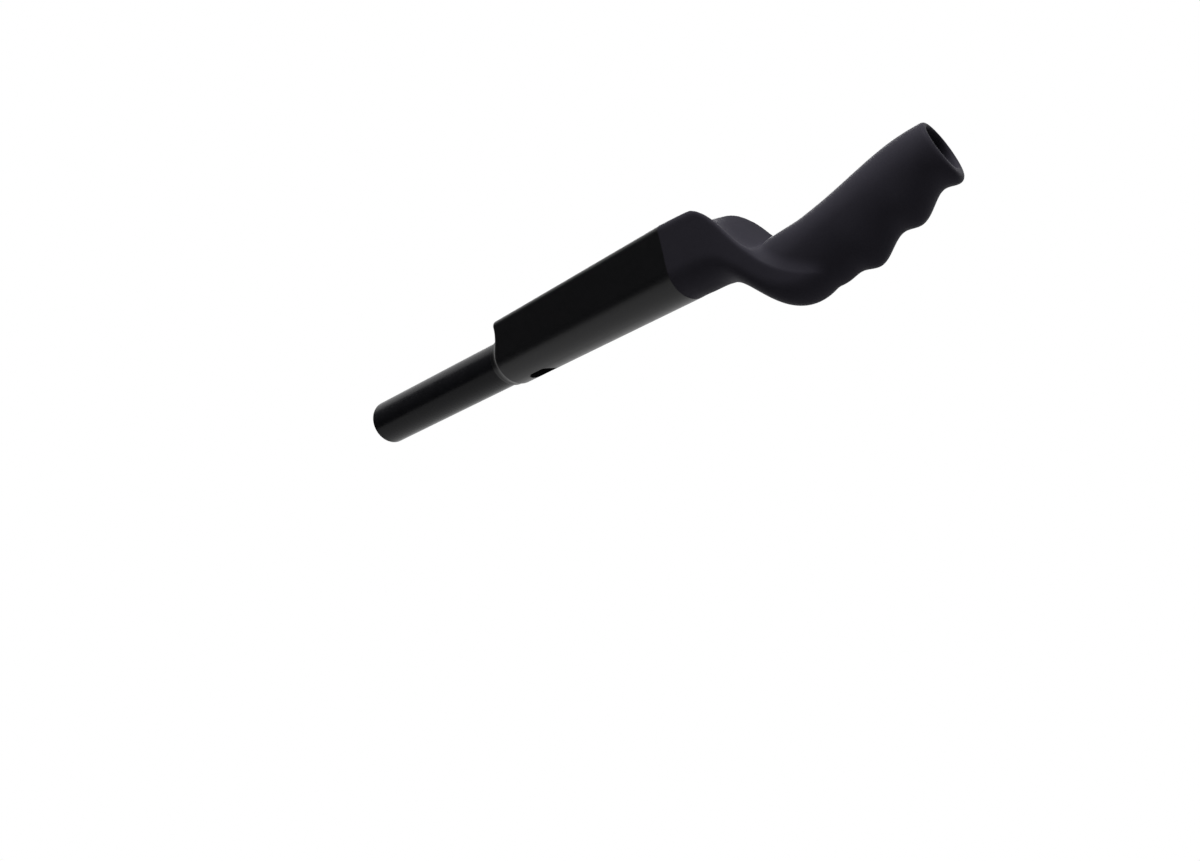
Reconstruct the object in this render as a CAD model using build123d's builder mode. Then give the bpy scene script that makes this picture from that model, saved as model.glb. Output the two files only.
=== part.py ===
# Aero handlebar extension for a time-trial bicycle, the one for the rider's right arm.
# Millimetres. X runs forward along the tube from its rear end, Y towards the rider's other arm, Z up.
import os
from math import cos, isclose, pi, radians, sin, tan

from build123d import *

os.makedirs("parts", exist_ok=True)

# Round tube that the bar's clamp holds, stepped down where it is bonded into the base
tube_diameter = 22.2
tube_wall = 1.9
clamp_length = 107.5
socket_depth = 38.0
socket_step = 0.3
socket_clearance = 0.1
tube_edge = 0.4

# Hollow base round the tube, a U in section with its round bottom on the tube's axis, necked at the rear
shell_over_tube = 1.6
shell_wall = 2.0
base_length = 130.0
rear_height = 17.5
front_height = 20.5
top_cant = 5.5
dish_depth = 2.0
lip_radius = 3.0
neck_wall = 0.8
neck_run = 2.0
neck_radius = 5.5
rear_edge_radius = 1.5

# Cable port under the tube's socket, and the slanted windows in the base's inner wall
port_length = 16.0
port_width = 9.0
port_setback = 22.5
window_length = 15.0
window_width = 5.5
window_slant = 34.0
window_pitch = 12.0
window_setback = 63.5
window_height = 3.0
window_count = 2

# Bonded joint between the base and the hand grip
spigot_length = 36.0
spigot_wall = 2.0
bond_gap = 0.1

# Hand grip: the beam dips to the heel in a scoop with a trough between its lips, then runs out in a toe
lip_run = 10.0
dip_run = 37.2
dip_level = -1.0
dip_slope = 1.45
scoop_skew = 0.055
lip_edge_radius = 0.7
trough_depth = 4.6
trough_land = 1.0
trough_lift = 0.5
trough_lead = 0.12
trough_share = 0.6
trough_steps = 5
heel_start = 20.0
heel_run = 54.0
heel_depth = 33.5
toe_run = 74.0
toe_depth = 27.0
toe_thickness = 4.0
toe_shift = 16.0
toe_bend = 2
toe_half_width = 6.0
toe_taper = 4
grip_steps = 8

# Handle with a palm swell on its back and finger grooves on its belly and inner side, aimed up and inward
root_reach = 45.276
root_offset = 8.042
root_level = -15.454
handle_yaw = 19.4
handle_pitch = 18.1
handle_length = 80.0
handle_half_width = 12.8
end_radius = 12.5
palm_swell = 2.0
palm_peak = 18.0
palm_run = 56.0
end_belly = 15.4
belly_swell = 10.0
collar_length = 2.0
finger_pitch = 22.5
finger_count = 3
ridge_length = 6.0
groove_depth = 3.0
groove_on_side = 0.5
collar_groove = 0.5
runout_groove = 0.5
root_half_width = 11.0
root_belly = 17.0
root_steps = 4
tuck_length = 8.0
tuck_half_width = 6.0
tuck_belly = 3.0
end_edge_radius = 1.4

# Bore at the end of the handle, and the wire way from it to the base
bore_diameter = 19.8
bore_depth = 40.0
bore_edge = 0.6
hollow_run = 12.0
wire_way_diameter = 8.0
wire_way_bend = 12.0
wire_way_run = 46.0
wire_way_shift = 6.0
wire_way_level = -19.5

# Sizes that follow from those above
tube_radius = tube_diameter / 2
bonded_radius = tube_radius - socket_step
tube_length = clamp_length + socket_depth
base_rear = clamp_length
seam = base_rear + base_length
shell_radius = tube_radius + shell_over_tube
neck_rim = tube_radius + neck_wall
shoulder = base_rear + neck_run + neck_radius
spigot_inset = shell_wall + bond_gap
cant = tan(radians(top_cant))
scoop_line = Vector(scoop_skew, 1, -cant)
handle_axis = Vector(1, 0, 0).rotate(Axis.Y, -handle_pitch).rotate(Axis.Z, handle_yaw)
handle_side = Vector(0, 1, 0).rotate(Axis.Z, handle_yaw)
handle_end = Vector(seam + root_reach, root_offset, root_level) + handle_axis * handle_length
last_ridge = collar_length + (finger_count - 1) * finger_pitch
root_start = last_ridge + ridge_length


def ease(share):
    # Goes from 0 to 1 with a level start and end
    return (1 - cos(pi * min(max(share, 0.0), 1.0))) / 2


def beam_section(station, sideways, half_width, top, bottom, dish=0.0):
    # U-shaped section across the beam, with a canted top, dished or flat, between two rounded lips
    left = sideways - half_width
    right = sideways + half_width
    spring = bottom + half_width
    left_lip = (left, top - left * cant)
    right_lip = (right, top - right * cant)
    with BuildSketch(Plane.YZ.offset(station)) as section:
        with BuildLine():
            Line((left, spring), left_lip)
            if dish:
                ThreePointArc(left_lip, (sideways, top - sideways * cant - dish), right_lip)
            else:
                Line(left_lip, right_lip)
            Line(right_lip, (right, spring))
            ThreePointArc((right, spring), (sideways, bottom), (left, spring))
        make_face()
        fillet(section.vertices().sort_by(Axis.Y)[-2:], lip_radius)
    return section.sketch


def base_top(station):
    return rear_height + (front_height - rear_height) * (station - base_rear) / base_length


def base_section(station):
    return beam_section(station, 0, shell_radius, base_top(station), -shell_radius, dish_depth)


def inner_section(station, inset):
    # Section that lies inside the base's by the inset, flat under the dish
    half_width = shell_radius - inset
    return beam_section(station, 0, half_width, base_top(station) - dish_depth - inset, -half_width)


def beam_shift(run):
    # How far the beam has bent inward, ahead of the seam
    return toe_shift * (run / toe_run) ** toe_bend


def beam_half_width(run):
    # Half the width of the beam as it narrows to the toe
    return shell_radius - (shell_radius - toe_half_width) * (run / toe_run) ** toe_taper


def grip_section(run):
    # Section of the beam as it dips to the heel and runs out to the toe
    drop = (heel_depth - shell_radius) * ease((run - heel_start) / (heel_run - heel_start))
    rise = (heel_depth - toe_depth) * ease((run - heel_run) / (toe_run - heel_run))
    bottom = rise - drop - shell_radius
    return beam_section(seam + run, beam_shift(run), beam_half_width(run), front_height, bottom, dish_depth)


def trough_section(place, along, depth):
    # Shallow arc across the scoop at a place on its curve, between the lands beside the lips
    run = place.X - seam
    half_width = beam_half_width(run) - trough_land
    origin = Vector(place.X, 0, place.Y) + scoop_line * beam_shift(run)
    with BuildSketch(Plane(origin=origin, x_dir=scoop_line, z_dir=(along.X, 0, along.Y))) as section:
        with BuildLine():
            ThreePointArc((-half_width, trough_lift), (0, -depth), (half_width, trough_lift))
            Line((half_width, trough_lift), (-half_width, trough_lift))
        make_face()
    return section.sketch


def handle_plane(distance):
    # Plane across the handle at a distance back from its end
    return Plane(origin=handle_end - handle_axis * distance, x_dir=handle_side, z_dir=handle_axis)


def handle_section(distance, groove=0.0):
    # Egg-shaped section across the handle, hollowed by a share of the groove, narrower at its root
    root = ease((distance - last_ridge) / (handle_length - last_ridge))
    belly = end_belly + belly_swell * sin(pi / 2 * distance / handle_length) - groove * groove_depth
    belly += (root_belly - belly) * root
    outer = handle_half_width + (root_half_width - handle_half_width) * root
    tuck = max(distance - handle_length, 0.0) / tuck_length
    belly += (tuck_belly - belly) * tuck
    outer += (tuck_half_width - outer) * tuck
    inner = outer - groove * groove_depth * groove_on_side
    palm = sin(pi / 2 * min(distance / palm_peak, 1.0))
    back = end_radius + palm_swell * palm * ease((palm_run - distance) / (palm_run - palm_peak))
    with BuildSketch(handle_plane(distance)) as section:
        with BuildLine():
            EllipticalCenterArc((0, 0), inner, back, 0, arc_size=90)
            EllipticalCenterArc((0, 0), outer, back, 90, arc_size=90)
            EllipticalCenterArc((0, 0), outer, belly, 180, arc_size=90)
            EllipticalCenterArc((0, 0), inner, belly, 270, arc_size=90)
        make_face()
    return section.sketch


def handle_sections():
    # From the end back: a collar, a ridge, a groove and its runout for each finger, the root and its tuck
    sections = [handle_section(0, collar_groove)]
    for finger in range(finger_count):
        ridge = collar_length + finger * finger_pitch
        sections.append(handle_section(ridge))
        sections.append(handle_section(ridge + ridge_length, groove=1))
        if ridge + ridge_length < root_start:
            runout = ridge + (finger_pitch + ridge_length) / 2
            sections.append(handle_section(runout, runout_groove))
    for step in range(root_steps):
        share = (step + 1) / root_steps
        distance = root_start + (handle_length - root_start) * share
        sections.append(handle_section(distance, groove=1 - share))
    sections.append(handle_section(handle_length + tuck_length))
    return sections


# Extension tube
with BuildPart() as extension_tube:
    with BuildSketch(Plane.YZ):
        Circle(tube_radius)
    extrude(amount=clamp_length)
    with BuildSketch(Plane.YZ.offset(clamp_length)):
        Circle(bonded_radius)
    extrude(amount=socket_depth)
    with BuildSketch(Plane.YZ):
        Circle(tube_radius - tube_wall)
    extrude(amount=tube_length, mode=Mode.SUBTRACT)
    chamfer(extension_tube.faces().sort_by(Axis.X)[0].edges().sort_by(SortBy.RADIUS)[0], tube_edge)
    with BuildSketch(Plane.XY):
        with Locations((base_rear + port_setback, 0)):
            SlotOverall(port_length, port_width)
    extrude(amount=-shell_radius, mode=Mode.SUBTRACT)

# Forearm base
with BuildPart() as forearm_base:
    loft([base_section(base_rear), base_section(seam)])
    with BuildSketch(Plane.XZ):
        with BuildLine():
            neck = Line((base_rear, neck_rim), (base_rear + neck_run, neck_rim))
            flare = RadiusArc(neck @ 1, (shoulder, neck_rim + neck_radius), -neck_radius)
            Polyline(flare @ 1, (shoulder, 2 * front_height), (base_rear, 2 * front_height), neck @ 0)
        make_face()
    revolve(axis=Axis.X, mode=Mode.SUBTRACT)
    back_faces = forearm_base.faces().filter_by(Axis.X).group_by(Axis.X)[1]
    flared_faces = forearm_base.faces().filter_by(GeomType.TORUS)
    outline = (back_faces + flared_faces).edges()
    hoops = outline.filter_by(GeomType.CIRCLE)
    round_bottom = hoops.filter_by(lambda edge: isclose(edge.radius, shell_radius))
    fillet(outline.filter_by(GeomType.CIRCLE, reverse=True) + round_bottom, rear_edge_radius)
    with BuildSketch(Plane.YZ.offset(base_rear)):
        Circle(bonded_radius + socket_clearance)
    extrude(amount=socket_depth, mode=Mode.SUBTRACT)
    loft(
        [inner_section(base_rear + socket_depth, shell_wall), inner_section(seam, shell_wall)],
        mode=Mode.SUBTRACT,
    )
    with BuildSketch(Plane.XY):
        with Locations((base_rear + port_setback, 0)):
            SlotOverall(port_length, port_width)
    extrude(amount=-2 * shell_radius, mode=Mode.SUBTRACT)
    with BuildSketch(Plane.XZ):
        with Locations((base_rear + window_setback, window_height)):
            with GridLocations(window_pitch, 0, window_count, 1):
                SlotOverall(window_length, window_width, rotation=-window_slant)
    extrude(amount=-2 * shell_radius, mode=Mode.SUBTRACT)

# Hand grip
with BuildPart() as hand_grip:
    # The beam starts a step behind the seam, so that it leaves the seam in line with the base
    loft([grip_section(toe_run * step / grip_steps) for step in range(-1, grip_steps + 1)])
    split(bisect_by=Plane.YZ.offset(seam))
    scoop_across = scoop_line * 2 * shell_radius
    with BuildSketch(Plane(origin=-scoop_across, x_dir=(1, 0, 0), z_dir=(0, -1, 0))):
        with BuildLine():
            scoop = Spline(
                (seam + lip_run, front_height),
                (seam + dip_run, dip_level),
                (seam + toe_run, toe_thickness - toe_depth),
                tangents=[(1, 0), (1, -dip_slope), (1, 0)],
            )
            Polyline(
                scoop @ 1,
                (seam + toe_run, 2 * front_height),
                (seam + lip_run, 2 * front_height),
                scoop @ 0,
            )
        make_face()
    extrude(amount=2 * scoop_across.length, dir=scoop_across, mode=Mode.SUBTRACT)
    scoop_face = hand_grip.faces().filter_by(GeomType.EXTRUSION).sort_by(SortBy.AREA)[-1]
    fillet(scoop_face.edges().sort_by(SortBy.LENGTH)[-2:], lip_edge_radius)
    trough = []
    for step in range(trough_steps + 1):
        share = trough_share * step / trough_steps
        depth = trough_depth * sin(pi * (trough_lead + (1 - trough_lead) * step / trough_steps))
        trough.append(trough_section(scoop @ share, scoop % share, depth))
    loft(trough, mode=Mode.SUBTRACT)
    loft(handle_sections())
    along_handle = Axis(handle_end, handle_axis)
    fillet(hand_grip.faces().sort_by(along_handle)[-1].edges(), end_edge_radius)
    loft([inner_section(seam - spigot_length, spigot_inset), inner_section(seam, spigot_inset)])
    hollow = spigot_inset + spigot_wall
    loft(
        [inner_section(seam - spigot_length, hollow), inner_section(seam + hollow_run, hollow)],
        mode=Mode.SUBTRACT,
    )
    with BuildSketch(handle_plane(0)):
        Circle(bore_diameter / 2)
    extrude(amount=-bore_depth, mode=Mode.SUBTRACT)
    chamfer(hand_grip.edges().filter_by(GeomType.CIRCLE).sort_by(along_handle)[-1], bore_edge)
    with BuildLine() as wire_way:
        FilletPolyline(
            (seam + hollow_run - wire_way_diameter, 0, 0),
            (seam + wire_way_run, wire_way_shift, wire_way_level),
            handle_end - handle_axis * (handle_length - finger_pitch),
            handle_end - handle_axis * (bore_depth - wire_way_diameter),
            radius=wire_way_bend,
        )
    with BuildSketch(Plane(origin=wire_way.line @ 0, z_dir=wire_way.line % 0)):
        Circle(wire_way_diameter / 2)
    sweep(path=wire_way.line, mode=Mode.SUBTRACT)

for piece, label in (
    (extension_tube, "extension_tube"),
    (forearm_base, "forearm_base"),
    (hand_grip, "hand_grip"),
):
    piece.part.label = label
    export_step(piece.part, f"parts/{label}.step")
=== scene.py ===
import math

import bmesh
import bpy
from mathutils import Matrix, Vector
from mathutils.kdtree import KDTree


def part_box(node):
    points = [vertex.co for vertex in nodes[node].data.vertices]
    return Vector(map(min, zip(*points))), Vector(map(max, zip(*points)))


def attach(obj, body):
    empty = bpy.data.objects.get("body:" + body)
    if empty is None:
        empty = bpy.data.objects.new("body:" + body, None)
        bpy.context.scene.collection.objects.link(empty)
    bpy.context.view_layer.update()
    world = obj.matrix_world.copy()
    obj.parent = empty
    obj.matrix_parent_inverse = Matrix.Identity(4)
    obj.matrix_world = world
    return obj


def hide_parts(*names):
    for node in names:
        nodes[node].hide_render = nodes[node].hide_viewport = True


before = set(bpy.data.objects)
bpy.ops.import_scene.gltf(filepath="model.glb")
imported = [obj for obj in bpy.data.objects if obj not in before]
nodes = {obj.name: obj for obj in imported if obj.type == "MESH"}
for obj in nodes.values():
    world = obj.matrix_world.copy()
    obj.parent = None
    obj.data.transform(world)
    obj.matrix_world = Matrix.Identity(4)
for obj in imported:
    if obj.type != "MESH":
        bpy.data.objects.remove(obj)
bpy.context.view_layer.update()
scene = bpy.context.scene
print("frame:", ", ".join(sorted(nodes)))

plainWhite = (1, 1, 1, 1)
colourA, colourB, colourOut = 6, 7, 2   # a Mix node's colour sockets, by number because names repeat


def toLinear(hexColour):
    # sRGB hex to the linear values that the shader sockets take
    parts = [int(hexColour[i:i + 2], 16) / 255 for i in (1, 3, 5)]
    return [v / 12.92 if v <= 0.04045 else ((v + 0.055) / 1.055) ** 2.4 for v in parts] + [1.0]


def addNode(tree, kind, settings=None, links=None):
    # one node, its settings by name or socket, and its inputs by (from node, from socket)
    node = tree.nodes.new(kind)
    for key, value in (settings or {}).items():
        if key in node.inputs.keys():
            node.inputs[key].default_value = value
        else:
            setattr(node, key, value)
    for key, (source, socket) in (links or {}).items():
        tree.links.new(source.outputs[socket], node.inputs[key])
    return node


def perMm(size):
    # texture scale, in repeats per metre, for a pattern whose grain is this many millimetres
    return 1000.0 / size


def newMaterial(name):
    mat = bpy.data.materials.new(name)
    mat.use_nodes = True
    mat.node_tree.nodes.clear()
    return mat, mat.node_tree


# camera low, ahead and outside of the right arm
view = {
    "place": (0.7443, -0.5187, -0.1762),
    "look": (-0.7386, 0.6548, 0.1608),
    "up": (0.2663, 0.0642, 0.9618),
    "lens": 52.5,
    "sensor": 36.0,
    "clipEnd": 50,
}

look = Vector(view["look"]).normalized()
right = look.cross(Vector(view["up"])).normalized()
camData = bpy.data.cameras.new("camera")
camData.lens = view["lens"]
camData.sensor_width = view["sensor"]
camData.clip_end = view["clipEnd"]
camera = bpy.data.objects.new("camera", camData)
scene.collection.objects.link(camera)
camTurn = Matrix((right, right.cross(look), -look)).transposed().to_4x4()
camera.matrix_world = Matrix.Translation(view["place"]) @ camTurn
scene.camera = camera
print("camera set")


# sintered nylon, dyed black: dull and dry, a sandy grain that catches light, dye a little uneven and violet
nylon = {
    "dye": "#37353e",
    "dyeThin": "#43414b",
    "cloudMm": 18.0,
    "cloudDetail": 4.0,
    "cloudRough": 0.6,
    "grainMm": 0.55,      # real grit is about 0.1 mm, drawn coarser so that it shows
    "grainDetail": 2.0,
    "grainRough": 0.7,
    "grainHeight": 0.00006,
    "grainStrength": 0.5,
    "roughLow": 0.46,
    "roughHigh": 0.64,
    "ior": 1.53,
    "specular": 0.035,
    "sheen": 0.04,
    "sheenRough": 0.6,
}


def dyedNylon(p):
    mat, tree = newMaterial("dyedSinteredNylon")
    coord = addNode(tree, "ShaderNodeTexCoord")
    cloud = addNode(tree, "ShaderNodeTexNoise", {
        "Scale": perMm(p["cloudMm"]),
        "Detail": p["cloudDetail"],
        "Roughness": p["cloudRough"],
    }, {"Vector": (coord, "Object")})
    grain = addNode(tree, "ShaderNodeTexNoise", {
        "Scale": perMm(p["grainMm"]),
        "Detail": p["grainDetail"],
        "Roughness": p["grainRough"],
    }, {"Vector": (coord, "Object")})
    tint = addNode(tree, "ShaderNodeMix", {"data_type": "RGBA"}, {"Factor": (cloud, "Fac")})
    tint.inputs[colourA].default_value = toLinear(p["dye"])
    tint.inputs[colourB].default_value = toLinear(p["dyeThin"])
    rough = addNode(tree, "ShaderNodeMapRange", {
        "To Min": p["roughLow"],
        "To Max": p["roughHigh"],
    }, {"Value": (grain, "Fac")})
    bump = addNode(tree, "ShaderNodeBump", {
        "Strength": p["grainStrength"],
        "Distance": p["grainHeight"],
    }, {"Height": (grain, "Fac")})
    skin = addNode(tree, "ShaderNodeBsdfPrincipled", {
        "IOR": p["ior"],
        "Specular IOR Level": p["specular"],
        "Sheen Weight": p["sheen"],
        "Sheen Roughness": p["sheenRough"],
    }, {"Roughness": (rough, "Result"), "Normal": (bump, "Normal"), "Base Color": (tint, colourOut)})
    addNode(tree, "ShaderNodeOutputMaterial", None, {"Surface": (skin, "BSDF")})
    return mat


# black composite shell under satin lacquer: deep black, soft clear reflections, faint flecks near the surface
shell = {
    "black": "#232325",
    "fleck": "#333236",
    "fleckMm": 0.9,       # chopped fibre ends are finer, drawn coarser so that they show
    "fleckDetail": 3.0,
    "fleckRough": 0.75,
    "fleckFrom": 0.58,    # noise value where a fleck begins, and where it is full
    "fleckFull": 0.78,
    "peelMm": 2.4,
    "peelDetail": 1.0,
    "peelHeight": 0.00002,
    "peelStrength": 0.35,
    "roughLow": 0.28,
    "roughHigh": 0.38,
    "ior": 1.5,
    "specular": 0.22,
}


def lacqueredShell(p):
    mat, tree = newMaterial("lacqueredComposite")
    coord = addNode(tree, "ShaderNodeTexCoord")
    fleck = addNode(tree, "ShaderNodeTexNoise", {
        "Scale": perMm(p["fleckMm"]),
        "Detail": p["fleckDetail"],
        "Roughness": p["fleckRough"],
    }, {"Vector": (coord, "Object")})
    peel = addNode(tree, "ShaderNodeTexNoise", {
        "Scale": perMm(p["peelMm"]),
        "Detail": p["peelDetail"],
    }, {"Vector": (coord, "Object")})
    share = addNode(tree, "ShaderNodeMapRange", {
        "From Min": p["fleckFrom"],
        "From Max": p["fleckFull"],
    }, {"Value": (fleck, "Fac")})
    tint = addNode(tree, "ShaderNodeMix", {"data_type": "RGBA"}, {"Factor": (share, "Result")})
    tint.inputs[colourA].default_value = toLinear(p["black"])
    tint.inputs[colourB].default_value = toLinear(p["fleck"])
    rough = addNode(tree, "ShaderNodeMapRange", {
        "To Min": p["roughLow"],
        "To Max": p["roughHigh"],
    }, {"Value": (peel, "Fac")})
    bump = addNode(tree, "ShaderNodeBump", {
        "Strength": p["peelStrength"],
        "Distance": p["peelHeight"],
    }, {"Height": (peel, "Fac")})
    skin = addNode(tree, "ShaderNodeBsdfPrincipled", {
        "IOR": p["ior"],
        "Specular IOR Level": p["specular"],
    }, {"Roughness": (rough, "Result"), "Normal": (bump, "Normal"), "Base Color": (tint, colourOut)})
    addNode(tree, "ShaderNodeOutputMaterial", None, {"Surface": (skin, "BSDF")})
    return mat


# wound carbon tube, ground and thinly lacquered: near black, weak shine, faint rings left by shrink tape
tubeLook = {
    "black": "#232326",
    "grey": "#2c2c30",
    "cloudMm": 8.0,
    "cloudDetail": 4.0,
    "tapeMm": 3.0,
    "tapeDistortion": 0.6,
    "tapeDetail": 1.0,
    "tapeHeight": 0.00002,
    "tapeStrength": 0.3,
    "waveRadians": 20,    # a wave texture turns through this many radians in one unit
    "roughLow": 0.2,
    "roughHigh": 0.3,
    "ior": 1.5,
    "specular": 0.06,
}


def woundTube(p):
    mat, tree = newMaterial("woundCarbonTube")
    coord = addNode(tree, "ShaderNodeTexCoord")
    tape = addNode(tree, "ShaderNodeTexWave", {
        "Scale": perMm(p["tapeMm"]) / p["waveRadians"] * 2 * math.pi,
        "Distortion": p["tapeDistortion"],
        "Detail": p["tapeDetail"],
        "bands_direction": "X",
    }, {"Vector": (coord, "Object")})
    cloud = addNode(tree, "ShaderNodeTexNoise", {
        "Scale": perMm(p["cloudMm"]),
        "Detail": p["cloudDetail"],
    }, {"Vector": (coord, "Object")})
    tint = addNode(tree, "ShaderNodeMix", {"data_type": "RGBA"}, {"Factor": (cloud, "Fac")})
    tint.inputs[colourA].default_value = toLinear(p["black"])
    tint.inputs[colourB].default_value = toLinear(p["grey"])
    rough = addNode(tree, "ShaderNodeMapRange", {
        "To Min": p["roughLow"],
        "To Max": p["roughHigh"],
    }, {"Value": (cloud, "Fac")})
    bump = addNode(tree, "ShaderNodeBump", {
        "Strength": p["tapeStrength"],
        "Distance": p["tapeHeight"],
    }, {"Height": (tape, "Fac")})
    skin = addNode(tree, "ShaderNodeBsdfPrincipled", {
        "IOR": p["ior"],
        "Specular IOR Level": p["specular"],
    }, {"Roughness": (rough, "Result"), "Normal": (bump, "Normal"), "Base Color": (tint, colourOut)})
    addNode(tree, "ShaderNodeOutputMaterial", None, {"Surface": (skin, "BSDF")})
    return mat


gripMat = dyedNylon(nylon)
for nodeName, mat in (
    ("hand_grip", gripMat),
    ("forearm_base", lacqueredShell(shell)),
    ("extension_tube", woundTube(tubeLook)),
):
    slots = nodes[nodeName].data.materials
    slots.clear()
    slots.append(mat)
print("materials on the CAD nodes")


# skin of the grip: printed in one, so the handle's root runs into the heel rest with no crease
skinForm = {
    "weldMm": 0.001,
    "voxelMm": 0.55,
    "rimMm": 0.4,             # beside the seam the edge stays as built
    "stillMm": 2.0,           # and just ahead of it nothing is smoothed
    "smoothing": 0.5,
    "easeRounds": 6,
    "rootMm": (30.0, 76.0),   # where the handle grows out of the rest, ahead of the seam
    "creaseDegrees": 18.0,
    "blendMm": 12.0,
    "blendRounds": 200,
    "normalsEvery": 20,
    "sharpDegrees": 35.0,
    # the inner lip and the back of the handle swell up to meet each other
    # place from the seam, lift and reach are in mm
    "swells": (
        {"place": (41.0, 15.5, -7.0), "lift": 3.6,
         "back": 26.0, "ahead": 8.0, "aside": 14.0, "up": 30.0, "down": 12.0},
        {"place": (43.0, 3.4, -4.2), "lift": 1.6,
         "back": 10.0, "ahead": 20.0, "aside": 15.0, "up": 20.0, "down": 10.0},
    ),
}


def blendedSkin(source, p):
    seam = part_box("forearm_base")[1][0]
    cut = seam + p["rimMm"] / 1000
    allWays = {"factor": p["smoothing"], "use_axis_x": True, "use_axis_y": True, "use_axis_z": True}
    built = bmesh.new()
    built.from_mesh(source.data)
    bmesh.ops.remove_doubles(built, verts=built.verts, dist=p["weldMm"] / 1000)
    creases = []
    for edge in built.edges:
        ahead = (edge.verts[0].co.x - seam) * 1000
        bend = math.degrees(edge.calc_face_angle_signed())
        if bend < -p["creaseDegrees"] and p["rootMm"][0] < ahead < p["rootMm"][1]:
            creases += [v.co for v in edge.verts]
    corner = KDTree(len(creases))
    for i, place in enumerate(creases):
        corner.insert(place, i)
    corner.balance()

    mesh = bpy.data.meshes.new("gripSkin")
    built.to_mesh(mesh)
    skin = bpy.data.objects.new("gripSkin", mesh)
    scene.collection.objects.link(skin)
    remesh = skin.modifiers.new("voxels", "REMESH")
    remesh.voxel_size = p["voxelMm"] / 1000
    graph = bpy.context.evaluated_depsgraph_get()
    even = bmesh.new()
    even.from_object(skin, graph)
    skin.modifiers.clear()

    for form, side in ((built, {"clear_outer": True}), (even, {"clear_inner": True})):
        bmesh.ops.bisect_plane(form, geom=form.verts[:] + form.edges[:] + form.faces[:], plane_co=(cut, 0, 0),
                               plane_no=(1, 0, 0), **side)
    free = [v for v in even.verts if v.co.x > cut + p["stillMm"] / 1000]
    for i in range(p["easeRounds"]):
        bmesh.ops.smooth_vert(even, verts=free, **allWays)
    for swell in p["swells"]:
        top = Vector((seam, 0, 0)) + Vector(swell["place"]) / 1000
        for v in free:
            off = (v.co - top) * 1000
            share = (off.x / swell["ahead" if off.x > 0 else "back"]) ** 2
            share += (off.y / swell["aside"]) ** 2 + (off.z / swell["up" if off.z > 0 else "down"]) ** 2
            v.co.z += swell["lift"] / 1000 * max(1 - share, 0) ** 2
    reach = [(corner.find(v.co)[2] * 1000, v) for v in free]
    reach = [(d, v) for d, v in reach if d < p["blendMm"]]
    for i in range(p["blendRounds"]):
        if i % p["normalsEvery"] == 0:
            even.normal_update()
        limit = p["blendMm"] * (1 - i / p["blendRounds"])
        near = [v for d, v in reach if d < limit]
        before = [v.co.copy() for v in near]
        bmesh.ops.smooth_vert(even, verts=near, **allWays)
        for v, place in zip(near, before):
            if (v.co - place).dot(v.normal) < 0:   # the corner fills up, and no edge wears down
                v.co = place

    built.to_mesh(mesh)
    even.from_mesh(mesh)
    for face in even.faces:
        face.smooth = True
    for edge in even.edges:
        edge.smooth = edge.is_boundary or edge.calc_face_angle() < math.radians(p["sharpDegrees"])
    even.to_mesh(mesh)
    built.free()
    even.free()
    return skin


gripSkin = blendedSkin(nodes["hand_grip"], skinForm)
gripSkin.data.materials.clear()
gripSkin.data.materials.append(gripMat)
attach(gripSkin, "root")
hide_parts("hand_grip")
print("grip skin:", len(gripSkin.data.polygons), "faces")


# white room: pale floor under the part that runs out to plain white, and a dark card for the gloss
room = {
    "floorX": 0.18,
    "floorZ": -1.0,
    "floorHalf": 8.0,
    "floorColour": "#f2f2f2",
    "shadowRadius": (0.45, 1.0),    # the floor takes a shadow inside, and is plain white to the eye outside
    "shadowWhite": 0.7,
    "ambient": 0.06,
    "cardPlace": (-0.42, -0.62, 0.22),
    "cardAim": (0.17, 0.0, 0.0),
    "cardSize": (1.3, 0.8),
    "cardColour": "#0c0c0c",
}


def rayMask(tree):
    # 1 for rays from the camera, and for those that a glossy or clear surface sends on
    path = addNode(tree, "ShaderNodeLightPath")
    seen = addNode(tree, "ShaderNodeMath", {"operation": "MAXIMUM"}, {
        0: (path, "Is Camera Ray"),
        1: (path, "Is Glossy Ray"),
    })
    return addNode(tree, "ShaderNodeMath", {"operation": "MAXIMUM"}, {
        0: (seen, "Value"),
        1: (path, "Is Transmission Ray"),
    })


def floorPaint(p):
    mat, tree = newMaterial("paleFloor")
    coord = addNode(tree, "ShaderNodeTexCoord")
    reach = addNode(tree, "ShaderNodeVectorMath", {"operation": "LENGTH"}, {0: (coord, "Object")})
    far = addNode(tree, "ShaderNodeMapRange", {
        "From Min": p["shadowRadius"][0],
        "From Max": p["shadowRadius"][1],
        "To Min": p["shadowWhite"],
        "interpolation_type": "SMOOTHSTEP",
    }, {"Value": (reach, "Value")})
    white = addNode(tree, "ShaderNodeMath", {"operation": "MULTIPLY"}, {
        0: (far, "Result"),
        1: (rayMask(tree), "Value"),
    })
    paint = addNode(tree, "ShaderNodeBsdfDiffuse", {"Color": toLinear(p["floorColour"])})
    glow = addNode(tree, "ShaderNodeEmission", {"Color": plainWhite, "Strength": 1.0})
    both = addNode(tree, "ShaderNodeMixShader", None, {
        0: (white, "Value"),
        1: (paint, "BSDF"),
        2: (glow, "Emission"),
    })
    side = addNode(tree, "ShaderNodeNewGeometry")
    clear = addNode(tree, "ShaderNodeBsdfTransparent")
    sheet = addNode(tree, "ShaderNodeMixShader", None, {
        0: (side, "Backfacing"),
        1: (both, "Shader"),
        2: (clear, "BSDF"),
    })
    addNode(tree, "ShaderNodeOutputMaterial", None, {"Surface": (sheet, "Shader")})
    return mat


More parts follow.
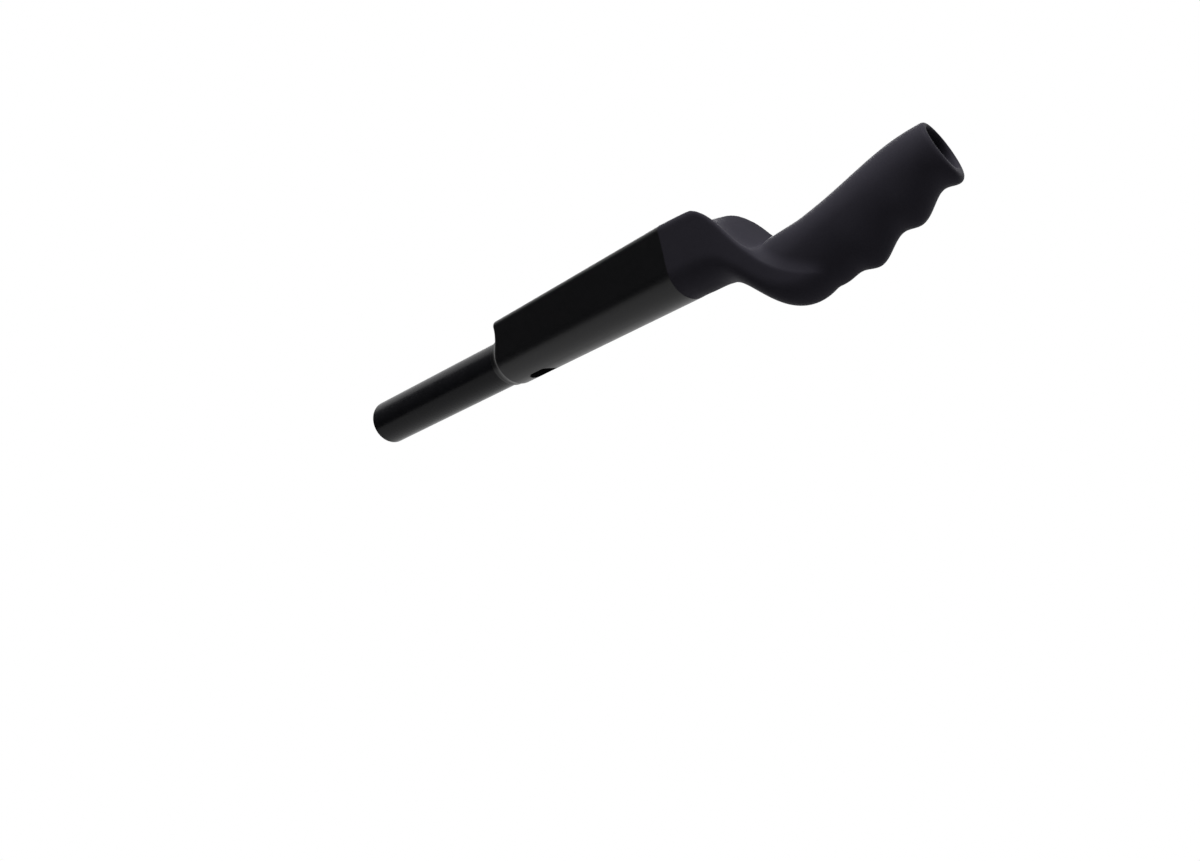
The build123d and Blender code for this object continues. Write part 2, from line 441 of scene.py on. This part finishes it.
def flatSheet(name, half, place, turn, mat):
    # a plain flat sheet for the room
    mesh = bpy.data.meshes.new(name)
    bm = bmesh.new()
    bmesh.ops.create_grid(bm, x_segments=1, y_segments=1, size=1.0)
    bmesh.ops.scale(bm, vec=(half[0], half[1], 1.0), verts=bm.verts)
    bm.to_mesh(mesh)
    bm.free()
    sheet = bpy.data.objects.new(name, mesh)
    scene.collection.objects.link(sheet)
    sheet.location = place
    sheet.rotation_euler = turn
    mesh.materials.append(mat)
    return sheet


floorHalf = (room["floorHalf"], room["floorHalf"])
floorPlace = (room["floorX"], 0, room["floorZ"])
flatSheet("floor", floorHalf, floorPlace, (0, 0, 0), floorPaint(room))
cardMat, cardTree = newMaterial("blackCard")
cardPaint = addNode(cardTree, "ShaderNodeBsdfDiffuse", {"Color": toLinear(room["cardColour"])})
addNode(cardTree, "ShaderNodeOutputMaterial", None, {"Surface": (cardPaint, "BSDF")})
cardHalf = (room["cardSize"][0] / 2, room["cardSize"][1] / 2)
cardTurn = (Vector(room["cardAim"]) - Vector(room["cardPlace"])).to_track_quat("Z", "Y").to_euler()
card = flatSheet("blackCard", cardHalf, room["cardPlace"], cardTurn, cardMat)
card.visible_camera = False   # the camera doesn't see it, and it only shows in the gloss

world = bpy.data.worlds.new("room")
scene.world = world
world.use_nodes = True
tree = world.node_tree
tree.nodes.clear()
strength = addNode(tree, "ShaderNodeMapRange", {
    "To Min": room["ambient"],
    "To Max": 1.0,
}, {"Value": (rayMask(tree), "Value")})
sky = addNode(tree, "ShaderNodeBackground", {"Color": plainWhite}, {"Strength": (strength, "Result")})
addNode(tree, "ShaderNodeOutputWorld", None, {"Surface": (sky, "Background")})

# soft light from above, and a weaker one from behind
lamps = {
    "overhead": {"place": (0.55, -0.2, 0.95), "aim": (0.25, 0.0, 0.0), "size": 0.7, "watts": 8.0},
    "behind": {"place": (-0.5, 0.7, 0.6), "aim": (0.25, 0.0, 0.0), "size": 0.6, "watts": 3.0},
}
for lampName, p in lamps.items():
    lampData = bpy.data.lights.new(lampName, "AREA")
    lampData.shape = "DISK"
    lampData.size = p["size"]
    lampData.energy = p["watts"]
    lamp = bpy.data.objects.new(lampName, lampData)
    scene.collection.objects.link(lamp)
    lamp.location = p["place"]
    lamp.rotation_euler = (Vector(p["aim"]) - Vector(p["place"])).to_track_quat("-Z", "Y").to_euler()

scene.view_settings.view_transform = "Standard"
print("room and lamps set")
